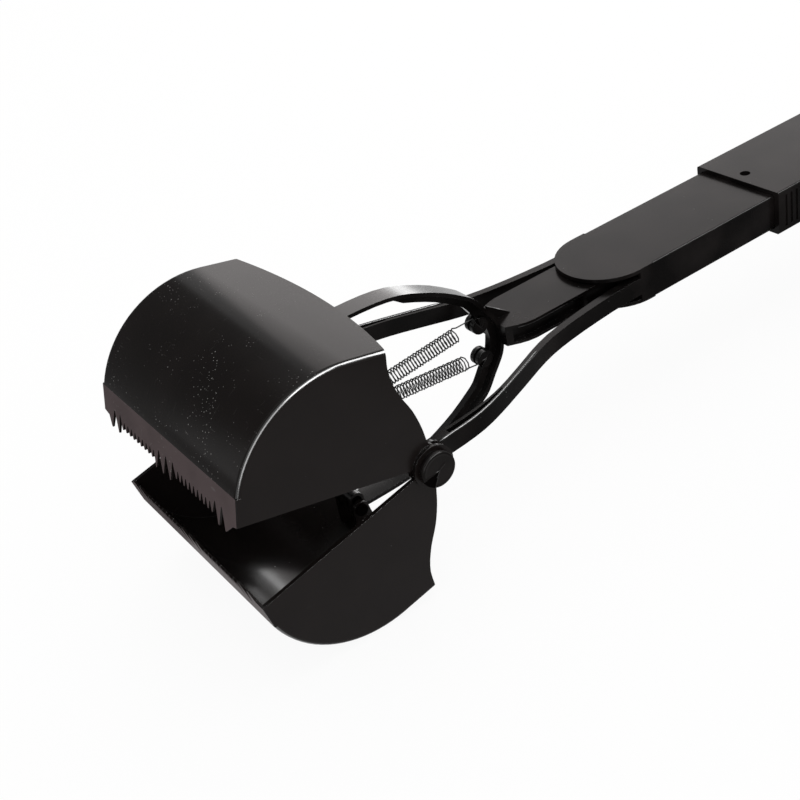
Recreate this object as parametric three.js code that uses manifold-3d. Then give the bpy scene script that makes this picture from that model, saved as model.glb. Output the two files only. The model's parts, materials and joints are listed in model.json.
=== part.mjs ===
// Pooper scooper with two toothed jaws on a long handle.
// Both jaws hinge on one axle across a fork. A sliding bow carries the rear edges of both jaws,
// two springs draw it forward to shut them, and a trigger in the grip pulls it back to open them.
// Millimetres. The origin is on the jaw axle at mid width, +X runs to the grip and +Z is up.
// The jaws are modelled part open.

import * as THREE from "three";
import { mergeVertices } from "three/addons/utils/BufferGeometryUtils.js";
import Module from "manifold-3d";

const wasm = await Module();
wasm.setup();

// Fits shared by every piece
const fit = 0.3;
const slidePlay = 0.6;
const overrun = 6;
const barSides = 20;
const smallBarSides = 16;

// Jaws: a round scoop, its circle centred ahead of the axle
const jawWidth = 160;
const jawWall = 2.5;
const jawRadius = 67.6;
const jawCentreAhead = 52.3;
const jawCentreRise = 7.3;
const jawCornerAhead = 31;
const jawTopLean = 1;
const jawBulge = 9.5;
const jawRimRound = 3;
const jawRimSteps = 3;
const jawRestOpening = 13.1;
const jawFullOpening = 33.1;
const lipClearance = 0.2;
const jawArcSteps = 20;
// Rear edge of a side wall, as shares of the corner's distance ahead of and above the axle
const rearEdgeShares = [[1, 1], [0.935, 0.815], [0.726, 0.643], [0.442, 0.486], [0.242, 0.335], [0.1, 0.192]];

// Toothed front strip, its heights taken from the side walls' lower edge. The row runs from the near corner.
const stripHeight = 16.5;
const stripEdge = 1.1;
const stripRoot = 2.6;
const stripRound = 0.8;
const bigTip = -7.5;
const bigRoot = 4.8;
const smallTip = -3.2;
const smallRoot = 2;
const tabTip = -1.1;
const nearTabEnd = -75.4;
const nearBigStart = -67.6;
const nearBigPitch = 7.6;
const nearBigTeeth = 2;
const nearSmallStart = -53.2;
const nearSmallPitch = 4.52;
const nearSmallTeeth = 10;
const middleBigStart = -4.8;
const middleBigPitch = 8.55;
const middleBigTeeth = 3;
const farSmallStart = 16.9;
const farSmallPitch = 4.75;
const farSmallTeeth = 9;
const farBigStart = 60.7;
const farBigPitch = 9.2;
const farBigTeeth = 2;
const farTabEnd = 73.4;
const toothFlat = 0.9;
const wideToothGap = 5.5;

// Jaw ears and the lugs that carry the bow pins
const earRadius = 13;
const earThickness = 2;
const lugPivotAhead = 27.6;
const lugPivotRise = 56.2;
const lugRadius = 5.3;
const lugThickness = 2.8;
const lugRoot = 9.5;
const lugSetback = 1;
const pivotPinRadius = 2.5;
const pivotHeadRadius = 3.9;
const pivotHeadThickness = 1.4;
const swingPlay = 0.8;

// Hinge axle across both jaws
const axleRadius = 4;
const headRadius = 10.8;
const headThickness = 2.5;
const headEdgeRound = 0.6;
const headSlotWidth = 3;
const headSlotDepth = 1.1;
const headSlotTurn = 45;
const headSides = 32;
const washerRadius = 9.6;
const washerThickness = 0.8;
const capNeckRadius = 2.6;
const capNeckDepth = 1.5;

// Fork: a flat block with round-nosed plates and two swept arms
const blockWidth = 64.6;
const blockHeight = 24.4;
const blockCorner = 1.4;
const plateThickness = 2.6;
const noseCentre = 201;
const lowerNoseCentre = 208;
const throatAt = 212;
const throatThickness = 3.4;
const tailLength = 36;
const screwBossDepth = 3;
const armThickness = 8.2;
const armHeight = 11.6;
const armEyeRadius = 8.5;
const armGrooveDepth = 3;
const armSteps = 21;
// Run of an arm from the axle to the block, its outer spread from the block's side to the eye,
// and how much of its full thickness it has there
const armRunShares = [0, 0.09, 0.164, 0.231, 0.301, 0.363, 0.458, 0.527, 0.597, 0.677, 0.771, 0.896, 1];
const armSpreadShares = [1, 0.96, 0.925, 0.866, 0.758, 0.643, 0.46, 0.322, 0.209, 0.129, 0.066, 0.01, 0];
const armThicknessShares = [1, 0.95, 0.915, 0.805, 0.63, 0.56, 0.59, 0.61, 0.61, 0.61, 0.645, 0.71, 0.73];
// Groove across the thickness of an arm, from its outer face, and along its run
const grooveAcrossShares = [0.3, 0.74];
const grooveAlongShares = [0.06, 0.36];

// Bow and its link, one moulding that slides along X
const bowReach = 109.8;
const bowRise = 63.2;
const bowThickness = 2.5;
const bowWidth = 14.5;
const bowRibWidth = 4.6;
const bowRibDepth = 7.4;
const bowRibFront = 32;
const bowSteps = 22;
// Outer face of the bow, as shares of its reach and of its rise
const bowShares = [
  [-0.1, 1.003], [0.06, 1.003], [0.235, 0.99], [0.38, 0.95], [0.52, 0.862], [0.66, 0.745], [0.785, 0.605],
  [0.845, 0.52], [0.9, 0.38], [0.96, 0.236], [0.985, 0.138], [1, 0],
];
const eyeWall = 1.8;
const springBossAhead = 14.3;
const springBossRise = 12;
const springBossRadius = 5.8;
const springBossWidth = 8;
const springBossCore = 3.4;
const springBossGroove = 2.2;
const linkWidth = 39.4;
const linkHeight = 13.5;
const linkCentreRise = 1.75;
const linkEnd = 214;
const linkFlange = 1.8;
const linkPocketDepth = 5;
const linkPocketFront = 111;
const linkPocketBack = 196;
// Half width of the link along its front, as shares of its full half width
const linkTaper = 18;
const linkTaperShares = [[0, 0.66], [0.17, 0.74], [0.4, 0.85], [0.7, 0.95], [1, 1]];
const linkRibAt = 165.5;
const linkRibWidth = 2.6;
const gussetLength = 14.2;
const gussetHeight = 11.5;
const gussetWidth = 2.4;

// Pull rod and the pins at its two ends
const rodWidth = 14;
const rodThickness = 6;
const rodOverlap = 16;
const rodEyeHeight = 14;
const rodEyeLength = 14;
const linkPinRadius = 2;
const linkPinSetback = 8;
const triggerPinRadius = 2.5;
const triggerPinPlay = 0.45;

// Springs, each one wire: a close helix with a straight run and a ring at either end
const springRadius = 4.5;
const springWire = 0.9;
const springSides = 5;
const springStepsPerCurl = 8;
const springCurls = 30;
const springCoilFront = 17;
const upperCoilFrontRise = 5.7;
const upperCoilSetback = 15.5;
const upperCoilDrop = 0.3;
const lowerCoilFrontRise = 4.4;
const lowerCoilSetback = 12.5;
const lowerCoilDrop = 1.6;
const springBossLoop = 4.2;
const springAxleLoop = 5.1;
const springAxleOffset = 1.3;
const springLoopSteps = 8;
const springLoopTurn = 240;

// Shaft sleeve over the block's tail
const sleeveFront = 321;
const sleeveLength = 119;
const sleeveWidth = 72.9;
const sleeveHeight = 30.7;
const sleeveCorner = 1.6;
const ribPitch = 5;
const ribGroove = 2.2;
const ribDepth = 0.8;
const ribCount = 12;
const ribStart = 6;
const shaftScrewSetback = 9.8;
const shaftScrewAside = 1.5;
const shaftScrewHead = 2.2;
const shaftScrewSink = 1.4;
const screwHeadRadius = 3.2;
const screwHeadThickness = 1.9;
const screwSink = 2.6;
const screwShankRadius = 1.5;
const screwSlotWidth = 0.8;
const screwSlotDepth = 0.7;
const guideSetback = 70;
const guideLength = 10;

// Grip: two shells that make a loop with a trigger in it
const gripThickness = 34;
const gripWall = 3;
const gripRound = 2;
const gripCurveSteps = 5;
const gripFrontCorner = 5;
const gripPlugLength = 26;
const gripNeckLength = 46;
const gripLength = 155;
const gripTop = 17;
const gripTopBar = 33;
const gripBottomBar = 18;
const gripBackBar = 31;
const gripFrontBar = 18;
const gripFrontSlant = 10;
const gripOuterCorner = 32;
const gripLowerCorner = 20;
const gripInnerCorner = 13;
const gripBossRadius = 5;
const gripScrewLength = 25;
const gripScrewFrontInset = 7;
const gripScrewFrontDrop = 10;

// Trigger and its pivots
const triggerReach = 78;
const triggerPinSetback = 74;
const triggerWidth = 19.6;
const triggerCheek = 2.3;
const triggerForkDepth = 12;
const triggerEyeRadius = 6;
const triggerTopRadius = 6.6;
const triggerPivotPinRadius = 3;
const triggerPivotPinInset = 3.2;
const triggerRound = 1.4;
const triggerCurveSteps = 3;
const triggerSpace = 1.1;
const triggerSweep = 26;
const triggerDepth = 10;
const triggerFanRoot = 2.4;
const triggerFanSpread = 17;
// Front and rear faces of the trigger, as shares of its depth across it and of its reach along it
const triggerFrontShares = [[-0.9, 0.12], [-1.05, 0.2], [-0.74, 0.42], [-0.94, 0.72], [-0.69, 0.96]];
const triggerRearShares = [[0.69, 0.96], [0.86, 0.7], [0.78, 0.4], [0.78, 0.16], [0.62, 0.05]];

// Sizes worked out from the ones above
const degree = Math.PI / 180;
const jawHalf = jawWidth / 2;
const jawInner = jawHalf - jawWall;
const outerEar = jawHalf + fit;
const innerEar = jawInner - fit;
const washerAt = outerEar + earThickness + fit;
const headAt = washerAt + washerThickness + fit;
const headEnd = headAt + headThickness;
const armOuter = innerEar - earThickness - fit;
const jawTangentAngle = Math.PI / 2 + jawTopLean * degree;
const jawTopSlope = 1 / Math.tan(jawTangentAngle);
const jawTopRun = jawCentreAhead - jawCornerAhead - jawRadius * Math.cos(jawTangentAngle);
const jawCornerRise = jawCentreRise + jawRadius * Math.sin(jawTangentAngle) - jawTopRun * jawTopSlope;
const stripAngle = Math.PI - Math.asin((stripHeight - jawCentreRise) / jawRadius);
const stripFront = -jawCentreAhead + jawRadius * Math.cos(stripAngle);
const toothBelow = bigTip - overrun;
const tipRadius = Math.hypot(stripFront, bigTip);
const shutAngle = Math.asin((lipClearance - bigTip) / tipRadius);
const restAngle = jawRestOpening * degree;
const swingAngle = (jawFullOpening - jawRestOpening) * degree;
const closeAngle = restAngle - shutAngle;
const pivotRadius = Math.hypot(lugPivotAhead, lugPivotRise);
const pivotAngle = Math.atan2(lugPivotAhead, lugPivotRise);
const pivotX = (opening) => -pivotRadius * Math.sin(pivotAngle - opening);
const pivotRest = pivotX(restAngle);
const pivotLow = lugPivotRise;
const slidePerRadian = (pivotX(restAngle + swingAngle) - pivotX(shutAngle)) / (closeAngle + swingAngle);
const slideShut = -slidePerRadian * closeAngle;
const slideOpen = slidePerRadian * swingAngle;
const lugInner = bowWidth / 2 + slidePlay;
const lugOuter = lugInner + lugThickness;
const blockHalf = blockWidth / 2;
const blockRise = blockHeight / 2;
const tailEnd = sleeveFront + tailLength;
const springBossX = bowReach - springBossAhead;
const linkHalf = linkWidth / 2;
const linkBottom = linkCentreRise - linkHeight / 2;
const linkTop = linkCentreRise + linkHeight / 2;
const linkPinAt = linkEnd - linkPinSetback;
const rodFront = linkEnd - rodOverlap;
const rodHalf = rodWidth / 2;
const rodBottom = linkCentreRise - rodThickness / 2;
const rodTop = linkCentreRise + rodThickness / 2;
const sleeveEnd = sleeveFront + sleeveLength;
const sleeveHalf = sleeveWidth / 2;
const sleeveRise = sleeveHeight / 2;
const gripHalf = gripThickness / 2;
const gripEnd = sleeveEnd + gripLength;
// The grip's underside is level with the lowest of the lower jaw
const gripBottom = jawRadius + jawCentreRise * Math.cos(restAngle) + jawCentreAhead * Math.sin(restAngle);
const triggerHalf = triggerWidth / 2;
const triggerPinX = sleeveEnd + triggerPinSetback;
const triggerPivotX = triggerPinX + (slideOpen + slideShut) / 2;
const triggerPivotZ = linkCentreRise - triggerReach;
const triggerRest = Math.asin((triggerPinX - triggerPivotX) / triggerReach);

// Finishes
const blackPlastic = { color: 0x191716, roughness: 0.32, metalness: 0 };
const satinPlastic = { color: 0x1f1d1c, roughness: 0.45, metalness: 0 };
const springSteel = { color: 0xa8aaac, roughness: 0.25, metalness: 1 };
const zincSteel = { color: 0x8e9092, roughness: 0.35, metalness: 1 };

// Turn a closed geometry into a solid for joining and cutting
function solidOf(geometry) {
  const bare = geometry.clone();
  bare.deleteAttribute("normal");
  bare.deleteAttribute("uv");
  const merged = mergeVertices(bare);
  const vertProperties = new Float32Array(merged.attributes.position.array);
  const triVerts = new Uint32Array(merged.index.array);
  return new wasm.Manifold(new wasm.Mesh({ numProp: 3, vertProperties, triVerts }));
}

// Turn a solid back into a geometry
function geometryOf(solid) {
  const mesh = solid.getMesh();
  const geometry = new THREE.BufferGeometry();
  geometry.setAttribute("position", new THREE.BufferAttribute(new Float32Array(mesh.vertProperties), 3));
  geometry.setIndex(new THREE.BufferAttribute(new Uint32Array(mesh.triVerts), 1));
  const flat = geometry.toNonIndexed();
  flat.computeVertexNormals();
  return flat;
}

function joinAll(solids) {
  return solids.reduce((whole, piece) => whole.add(piece));
}

// Box between two corners
function box(x0, x1, y0, y1, z0, z1) {
  const geometry = new THREE.BoxGeometry(x1 - x0, y1 - y0, z1 - z0);
  geometry.translate((x0 + x1) / 2, (y0 + y1) / 2, (z0 + z1) / 2);
  return solidOf(geometry);
}

// Round bar along Y
function barY(radius, y0, y1, x = 0, z = 0, sides = barSides) {
  const geometry = new THREE.CylinderGeometry(radius, radius, Math.abs(y1 - y0), sides);
  geometry.translate(x, (y0 + y1) / 2, z);
  return solidOf(geometry);
}

// Round bar along Z
function barZ(radius, z0, z1, x = 0, y = 0, sides = smallBarSides) {
  const geometry = new THREE.CylinderGeometry(radius, radius, Math.abs(z1 - z0), sides);
  geometry.rotateX(Math.PI / 2);
  geometry.translate(x, y, (z0 + z1) / 2);
  return solidOf(geometry);
}

// Outline in X and Z drawn out along Y, with its side edges rounded over by an inward bevel
function plateXZ(shape, y0, y1, round = 0, curveSegments = 4, bevelSegments = 2) {
  const options = { depth: y1 - y0 - 2 * round, curveSegments, bevelEnabled: round > 0 };
  if (round > 0) {
    Object.assign(options, { bevelThickness: round, bevelSize: round, bevelOffset: -round, bevelSegments });
  }
  const geometry = new THREE.ExtrudeGeometry(shape, options);
  geometry.rotateX(Math.PI / 2);
  geometry.translate(0, y1 - round, 0);
  return solidOf(geometry);
}

// Outline in X and Y drawn up along Z
function plateXY(shape, z0, z1, curveSegments = 12) {
  const geometry = new THREE.ExtrudeGeometry(shape, { depth: z1 - z0, curveSegments, bevelEnabled: false });
  geometry.translate(0, 0, z0);
  return solidOf(geometry);
}

// Outline in Y and Z drawn out along X
function plateYZ(shape, x0, x1, curveSegments = 2) {
  const geometry = new THREE.ExtrudeGeometry(shape, { depth: x1 - x0, curveSegments, bevelEnabled: false });
  const axes = new THREE.Matrix4().makeBasis(
    new THREE.Vector3(0, 1, 0),
    new THREE.Vector3(0, 0, 1),
    new THREE.Vector3(1, 0, 0),
  );
  geometry.applyMatrix4(axes);
  geometry.translate(x0, 0, 0);
  return solidOf(geometry);
}

function shapeThrough(points) {
  return new THREE.Shape(points.map(([a, b]) => new THREE.Vector2(a, b)));
}

// Rectangle with rounded corners, centred on a point
function roundedRectangle(centreA, centreB, halfA, halfB, radius) {
  const shape = new THREE.Shape();
  const right = centreA + halfA - radius;
  const left = centreA - halfA + radius;
  const top = centreB + halfB - radius;
  const bottom = centreB - halfB + radius;
  shape.absarc(right, top, radius, 0, Math.PI / 2);
  shape.absarc(left, top, radius, Math.PI / 2, Math.PI);
  shape.absarc(left, bottom, radius, Math.PI, Math.PI * 1.5);
  shape.absarc(right, bottom, radius, Math.PI * 1.5, Math.PI * 2);
  shape.closePath();
  return shape;
}

// Outline through corner points [x, z, corner radius]
function roundedOutline(corners) {
  const shape = new THREE.Shape();
  const count = corners.length;
  corners.forEach(([x, z, radius], i) => {
    const here = new THREE.Vector2(x, z);
    const [beforeX, beforeZ] = corners[(i + count - 1) % count];
    const [afterX, afterZ] = corners[(i + 1) % count];
    const entry = new THREE.Vector2(beforeX, beforeZ).sub(here).setLength(radius).add(here);
    const exit = new THREE.Vector2(afterX, afterZ).sub(here).setLength(radius).add(here);
    if (i === 0) {
      shape.moveTo(entry.x, entry.y);
    } else {
      shape.lineTo(entry.x, entry.y);
    }
    shape.quadraticCurveTo(here.x, here.y, exit.x, exit.y);
  });
  shape.closePath();
  return shape;
}

// Smooth line through points, sampled evenly
function smoothLine(points, steps) {
  const curve = new THREE.SplineCurve(points.map(([a, b]) => new THREE.Vector2(a, b)));
  return curve.getPoints(steps).map((point) => [point.x, point.y]);
}

// The same line moved sideways, to the right of its run
function offsetLine(points, distance) {
  return points.map(([a, b], i) => {
    const [beforeA, beforeB] = points[Math.max(i - 1, 0)];
    const [afterA, afterB] = points[Math.min(i + 1, points.length - 1)];
    const run = Math.hypot(afterA - beforeA, afterB - beforeB);
    return [a + (distance * (afterB - beforeB)) / run, b - (distance * (afterA - beforeA)) / run];
  });
}

// Points on the jaw's side circle from one angle to another
function jawArc(radius, from, to) {
  return Array.from({ length: jawArcSteps + 1 }, (unused, i) => {
    const angle = from + ((to - from) * i) / jawArcSteps;
    return [-jawCentreAhead + radius * Math.cos(angle), jawCentreRise + radius * Math.sin(angle)];
  });
}

// Point on the straight part of the jaw's top, a given depth under its outer face
function jawTop(x, depth) {
  const drop = (x + jawCornerAhead) * jawTopSlope + depth / Math.sin(jawTangentAngle);
  return [x, jawCornerRise - drop];
}

// Side view of the whole moulding before it is hollowed out
function jawProfile() {
  return shapeThrough([
    [stripFront, toothBelow],
    ...jawArc(jawRadius, stripAngle, jawTangentAngle),
    jawTop(earRadius, 0),
    [earRadius, toothBelow],
  ]);
}

// Curved wall of the scoop, up to its bowed rear edge
function jawShell() {
  const past = jawBulge - jawCornerAhead + overrun;
  const band = shapeThrough([
    ...jawArc(jawRadius + overrun, stripAngle, jawTangentAngle),
    jawTop(past, -overrun),
    jawTop(past, jawWall),
    ...jawArc(jawRadius - jawWall, jawTangentAngle, stripAngle),
  ]);
  const bowRadius = (jawHalf ** 2 + jawBulge ** 2) / (jawBulge + jawBulge);
  const half = Math.asin(jawHalf / bowRadius);
  const plan = new THREE.Shape();
  plan.absarc(jawBulge - jawCornerAhead - bowRadius, 0, bowRadius, -half, half);
  plan.lineTo(-jawWidth, jawHalf);
  plan.lineTo(-jawWidth, -jawHalf);
  plan.closePath();
  return plateXZ(band, -jawHalf, jawHalf).intersect(plateXY(plan, 0, jawWidth));
}

// Teeth from the near corner to the far one, each [place across, height of its tip]
function teeth() {
  const run = (start, pitch, count, tip) => Array.from({ length: count }, (unused, i) => [start + pitch * i, tip]);
  return [
    ...run(nearBigStart, nearBigPitch, nearBigTeeth, bigTip),
    ...run(nearSmallStart, nearSmallPitch, nearSmallTeeth, smallTip),
    ...run(middleBigStart, middleBigPitch, middleBigTeeth, bigTip),
    ...run(farSmallStart, farSmallPitch, farSmallTeeth, smallTip),
    ...run(farBigStart, farBigPitch, farBigTeeth, bigTip),
  ];
}

// Everything under the zigzag line of the teeth and under the plain tab at either end
function toothGaps() {
  const row = teeth();
  const flat = toothFlat / 2;
  const line = [[-jawWidth, lipClearance], [-jawHalf, lipClearance], [nearTabEnd, tabTip]];
  row.forEach(([y, tip], i) => {
    line.push([y - flat, tip], [y + flat, tip]);
    if (i < row.length - 1) {
      const gap = row[i + 1][0] - y;
      const middle = y + gap / 2;
      const root = gap > wideToothGap ? bigRoot : smallRoot;
      line.push([middle - flat, root], [middle + flat, root]);
    }
  });
  line.push([farTabEnd, tabTip], [jawHalf, lipClearance], [jawWidth, lipClearance]);
  line.push([jawWidth, toothBelow], [-jawWidth, toothBelow]);
  return plateYZ(shapeThrough(line), stripFront - overrun, stripFront + stripRoot + overrun);
}

// Front strip, thinned down to an edge on the inside
function jawStrip() {
  const section = shapeThrough([
    [stripFront - overrun, bigTip],
    [stripFront + stripEdge, bigTip],
    [stripFront + stripRoot, stripHeight],
    [stripFront + stripRoot, stripHeight + stripRoot],
    [stripFront - overrun, stripHeight + stripRoot],
  ]);
  return plateXZ(section, -jawHalf, jawHalf).subtract(toothGaps());
}

// Both side walls, with the hollow rear edge that runs down to the ears
function jawSides() {
  const rear = rearEdgeShares.map(([ahead, rise]) => [-ahead * jawCornerAhead, rise * jawCornerRise]);
  const outline = shapeThrough([
    [-jawWidth, lipClearance],
    [-jawWidth, jawCornerRise + overrun],
    [-jawCornerAhead, jawCornerRise + overrun],
    ...smoothLine([...rear, [0, earRadius]], jawArcSteps),
    [0, lipClearance],
  ]);
  const between = box(-jawWidth, jawWidth, -jawInner, jawInner, -jawWidth, jawWidth);
  return plateXZ(outline, -jawHalf, jawHalf).subtract(between);
}

// An ear and the quarter that ties it to its own wall
function jawEar(y0, y1, wall0, wall1) {
  const quarter = box(-earRadius, 0, wall0, wall1, lipClearance, earRadius);
  return barY(earRadius, y0, y1).add(barY(earRadius, wall0, wall1).intersect(quarter));
}

// Lug under the scoop wall that holds one end of a bow pin
function jawLug(y0, y1) {
  const outline = shapeThrough([
    [-lugPivotAhead - lugRadius, lugPivotRise],
    [-lugPivotAhead + lugRadius, lugPivotRise],
    jawTop(jawBulge - jawCornerAhead - lugSetback, jawWall / 2),
    jawTop(-lugPivotAhead - fit, jawWall / 2),
    jawTop(-lugPivotAhead - lugRoot, jawWall),
  ]);
  return plateXZ(outline, y0, y1).add(barY(lugRadius, y0, y1, -lugPivotAhead, lugPivotRise));
}

// The moulding's outer form, well rounded along its rim and nearly sharp beside the strip
function jawBlank() {
  const rounded = plateXZ(jawProfile(), -jawHalf, jawHalf, jawRimRound, 1, jawRimSteps);
  const sharper = plateXZ(jawProfile(), -jawHalf, jawHalf, stripRound);
  return rounded.add(sharper.intersect(box(-jawWidth, 0, -jawHalf, jawHalf, toothBelow, stripHeight)));
}

// One jaw, shut: its ear is outside the wall on the -Y side and inside it on the +Y side
function jawShut() {
  const walls = joinAll([jawShell(), jawStrip(), jawSides()]).intersect(jawBlank());
  const fittings = [
    jawEar(-outerEar - earThickness, -outerEar, -outerEar - earThickness, -jawInner),
    jawEar(innerEar - earThickness, innerEar, innerEar - earThickness, jawInner + fit),
    jawLug(-lugOuter, -lugInner),
    jawLug(lugInner, lugOuter),
  ];
  const holes = [
    barY(axleRadius + fit, -headEnd, headEnd),
    barY(pivotPinRadius + fit, -lugOuter - overrun, lugOuter + overrun, -lugPivotAhead, lugPivotRise),
  ];
  return joinAll([walls, ...fittings]).subtract(joinAll(holes));
}

// Pin through a jaw's lugs and the bow's eye, with a head at either end
function jawPinShut() {
  const end = lugOuter + fit + pivotHeadThickness;
  return joinAll([
    barY(pivotPinRadius, -end, end, -lugPivotAhead, lugPivotRise),
    barY(pivotHeadRadius, -end, -lugOuter - fit, -lugPivotAhead, lugPivotRise),
    barY(pivotHeadRadius, lugOuter + fit, end, -lugPivotAhead, lugPivotRise),
  ]);
}

// Place a piece of the shut upper jaw in the stored pose, for either jaw
function swung(solid, lower) {
  const geometry = geometryOf(solid);
  if (lower) {
    geometry.rotateX(Math.PI);
  }
  return geometry.rotateY(lower ? -restAngle : restAngle);
}

// Axle with a slotted head on the near side and a neck for the cap on the far side
function hingeAxle() {
  const round = headEdgeRound;
  const profile = [
    [0, 0],
    [headRadius - round, 0],
    [headRadius, round],
    [headRadius, headThickness],
    [0, headThickness],
  ].map(([radius, along]) => new THREE.Vector2(radius, along));
  const head = new THREE.LatheGeometry(profile, headSides);
  head.translate(0, -headEnd, 0);
  const slotHalf = headSlotWidth / 2;
  const slot = box(-headRadius, 0, -headEnd, -headEnd + headSlotDepth, -slotHalf, slotHalf)
    .rotate([0, -headSlotTurn, 0]);
  return joinAll([
    solidOf(head),
    barY(axleRadius, -headEnd + headThickness, headAt - fit),
    barY(capNeckRadius, headAt - fit, headAt + capNeckDepth),
  ]).subtract(slot);
}

function hingeCap() {
  return barY(headRadius, headAt, headEnd, 0, 0, headSides)
    .subtract(barY(capNeckRadius + fit, headAt, headAt + capNeckDepth + fit));
}

function washer(side) {
  const [y0, y1] = [side * washerAt, side * (washerAt + washerThickness)].sort((a, b) => a - b);
  return barY(washerRadius, y0, y1).subtract(barY(axleRadius + fit, y0 - overrun, y1 + overrun));
}

// Points in plan at a share of the way across one fork arm, from its outer face inward
function armLine(across) {
  const points = armRunShares.map((run, i) => {
    const outer = blockHalf + armSpreadShares[i] * (armOuter - blockHalf);
    return [run * noseCentre, outer - across * armThicknessShares[i] * armThickness];
  });
  return smoothLine(points, armSteps);
}

// One swept arm with a groove along its top and its underside
function forkArm() {
  const arm = plateXY(shapeThrough([...armLine(0), ...armLine(1).reverse()]), -armHeight / 2, armHeight / 2);
  const [near, deep] = grooveAcrossShares;
  const [front, back] = grooveAlongShares;
  const inGroove = ([x]) => x > front * noseCentre && x < back * noseCentre;
  const line = [...armLine(near).filter(inGroove), ...armLine(deep).filter(inGroove).reverse()];
  const groove = shapeThrough(line);
  const floor = armHeight / 2 - armGrooveDepth;
  const eyeInner = armOuter - armThicknessShares[0] * armThickness;
  return joinAll([arm, barY(armEyeRadius, eyeInner, armOuter)])
    .subtract(plateXY(groove, floor, armHeight))
    .subtract(plateXY(groove, -armHeight, -floor))
    .subtract(barY(axleRadius + fit, eyeInner - overrun, armOuter + overrun));
}

// Flat block: a tube with two round-nosed plates and a throat wall that the link runs through
function forkBlock() {
  const hollow = blockRise - plateThickness;
  const side = blockHalf - plateThickness;
  const nose = (centre) => {
    const shape = new THREE.Shape();
    shape.absarc(centre, 0, blockHalf, Math.PI / 2, Math.PI * 1.5);
    shape.lineTo(throatAt, -blockHalf);
    shape.lineTo(throatAt, blockHalf);
    shape.closePath();
    return shape;
  };
  const tube = plateYZ(roundedRectangle(0, 0, blockHalf, blockRise, blockCorner), noseCentre, tailEnd);
  const passage = linkHalf + slidePlay;
  return joinAll([
    tube.subtract(box(noseCentre - overrun, tailEnd + overrun, -side, side, -hollow, hollow)),
    plateXY(nose(noseCentre), hollow, blockRise),
    plateXY(nose(lowerNoseCentre), -blockRise, -hollow),
    box(throatAt, throatAt + throatThickness, -side - fit, side + fit, -hollow - fit, hollow + fit),
  ]).subtract(box(throatAt - overrun, throatAt + throatThickness + overrun, -passage, passage,
    linkBottom - slidePlay, linkTop + slidePlay));
}

// Boss under the top of the block's tail for the sleeve's screw
function screwBoss() {
  const x = sleeveFront + shaftScrewSetback;
  const bottom = blockRise - plateThickness - screwBossDepth;
  return barZ(screwShankRadius + plateThickness, bottom, blockRise - fit, x, shaftScrewAside);
}

function fork() {
  const arm = forkArm();
  const hole = barZ(screwShankRadius + fit, 0, blockHeight, sleeveFront + shaftScrewSetback, shaftScrewAside);
  return joinAll([forkBlock(), screwBoss(), arm, arm.mirror([0, 1, 0])]).subtract(hole);
}

// Half of the bow's outer face, from past the eye to the apex
function bowLine() {
  return smoothLine(bowShares.map(([ahead, rise]) => [ahead * bowReach, rise * bowRise]), bowSteps);
}

// Slotted eye at one end of the bow: a jaw pin rides up and down in it
function eyeOutline(wall) {
  const half = pivotPinRadius + swingPlay + wall;
  const low = pivotLow - half;
  const high = pivotRadius + half;
  return roundedRectangle(pivotRest, (low + high) / 2, half, (high - low) / 2, half - fit / 10);
}

// One half of the bow with its rib, its eye and its spring boss
function bowHalf() {
  const outer = bowLine();
  const ribbed = outer.filter(([x]) => x > bowRibFront);
  const strip = shapeThrough([...outer, ...offsetLine(outer, bowThickness).reverse()]);
  const rib = shapeThrough([
    ...offsetLine(ribbed, bowThickness / 2),
    ...offsetLine(ribbed, bowRibDepth).slice(2).reverse(),
  ]);
  const half = bowWidth / 2;
  const groove = springBossGroove / 2;
  const loop = barY(springBossRadius, -groove, groove, springBossX, springBossRise)
    .subtract(barY(springBossCore, -groove, groove, springBossX, springBossRise));
  return joinAll([
    plateXZ(strip, -half, half),
    plateXZ(rib, -bowRibWidth / 2, bowRibWidth / 2),
    plateXZ(eyeOutline(eyeWall), -half, half),
    barY(springBossRadius, -springBossWidth / 2, springBossWidth / 2, springBossX, springBossRise),
  ]).subtract(plateXZ(eyeOutline(0), -half - overrun, half + overrun)).subtract(loop);
}

// Small web between the back of the bow and the top of the link
function bowGusset() {
  const front = bowReach - bowThickness;
  const outline = shapeThrough([
    [front - bowThickness, linkTop - fit],
    [front + gussetLength, linkTop - fit],
    [front - bowThickness, linkTop + gussetHeight],
  ]);
  return plateXZ(outline, -gussetWidth / 2, gussetWidth / 2);
}

// Plan of the link, tapered towards the bow and moved inward by an inset
function linkPlan(inset, front) {
  const side = linkTaperShares.map(([along, share]) => [front + along * linkTaper, share * linkHalf - inset]);
  const whole = [...side, [linkEnd + overrun, linkHalf - inset]];
  return shapeThrough([...whole, ...whole.map(([x, y]) => [x, -y]).reverse()]);
}

// Flat link with a pocket in either side, a rib across each pocket and a slot for the rod
function link() {
  const front = bowReach - bowThickness - fit;
  const [low, high] = [linkBottom + linkFlange, linkTop - linkFlange];
  const pocket = (x0, x1) => box(x0, x1, -linkWidth, linkWidth, low, high);
  const pockets = pocket(linkPocketFront, linkRibAt - linkRibWidth / 2)
    .add(pocket(linkRibAt + linkRibWidth / 2, linkPocketBack))
    .subtract(plateXY(linkPlan(linkPocketDepth, front), linkBottom, linkTop));
  return plateXY(linkPlan(0, front), linkBottom, linkTop)
    .intersect(box(front, linkEnd, -linkWidth, linkWidth, linkBottom, linkTop))
    .subtract(pockets)
    .subtract(box(rodFront - fit, linkEnd + overrun, -rodHalf - fit, rodHalf + fit, rodBottom - fit, rodTop + fit))
    .subtract(barZ(linkPinRadius + fit, linkBottom - overrun, linkTop + overrun, linkPinAt));
}

function bowLink() {
  const half = bowHalf();
  return joinAll([half, half.mirror([0, 0, 1]), link(), bowGusset()]);
}

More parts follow.
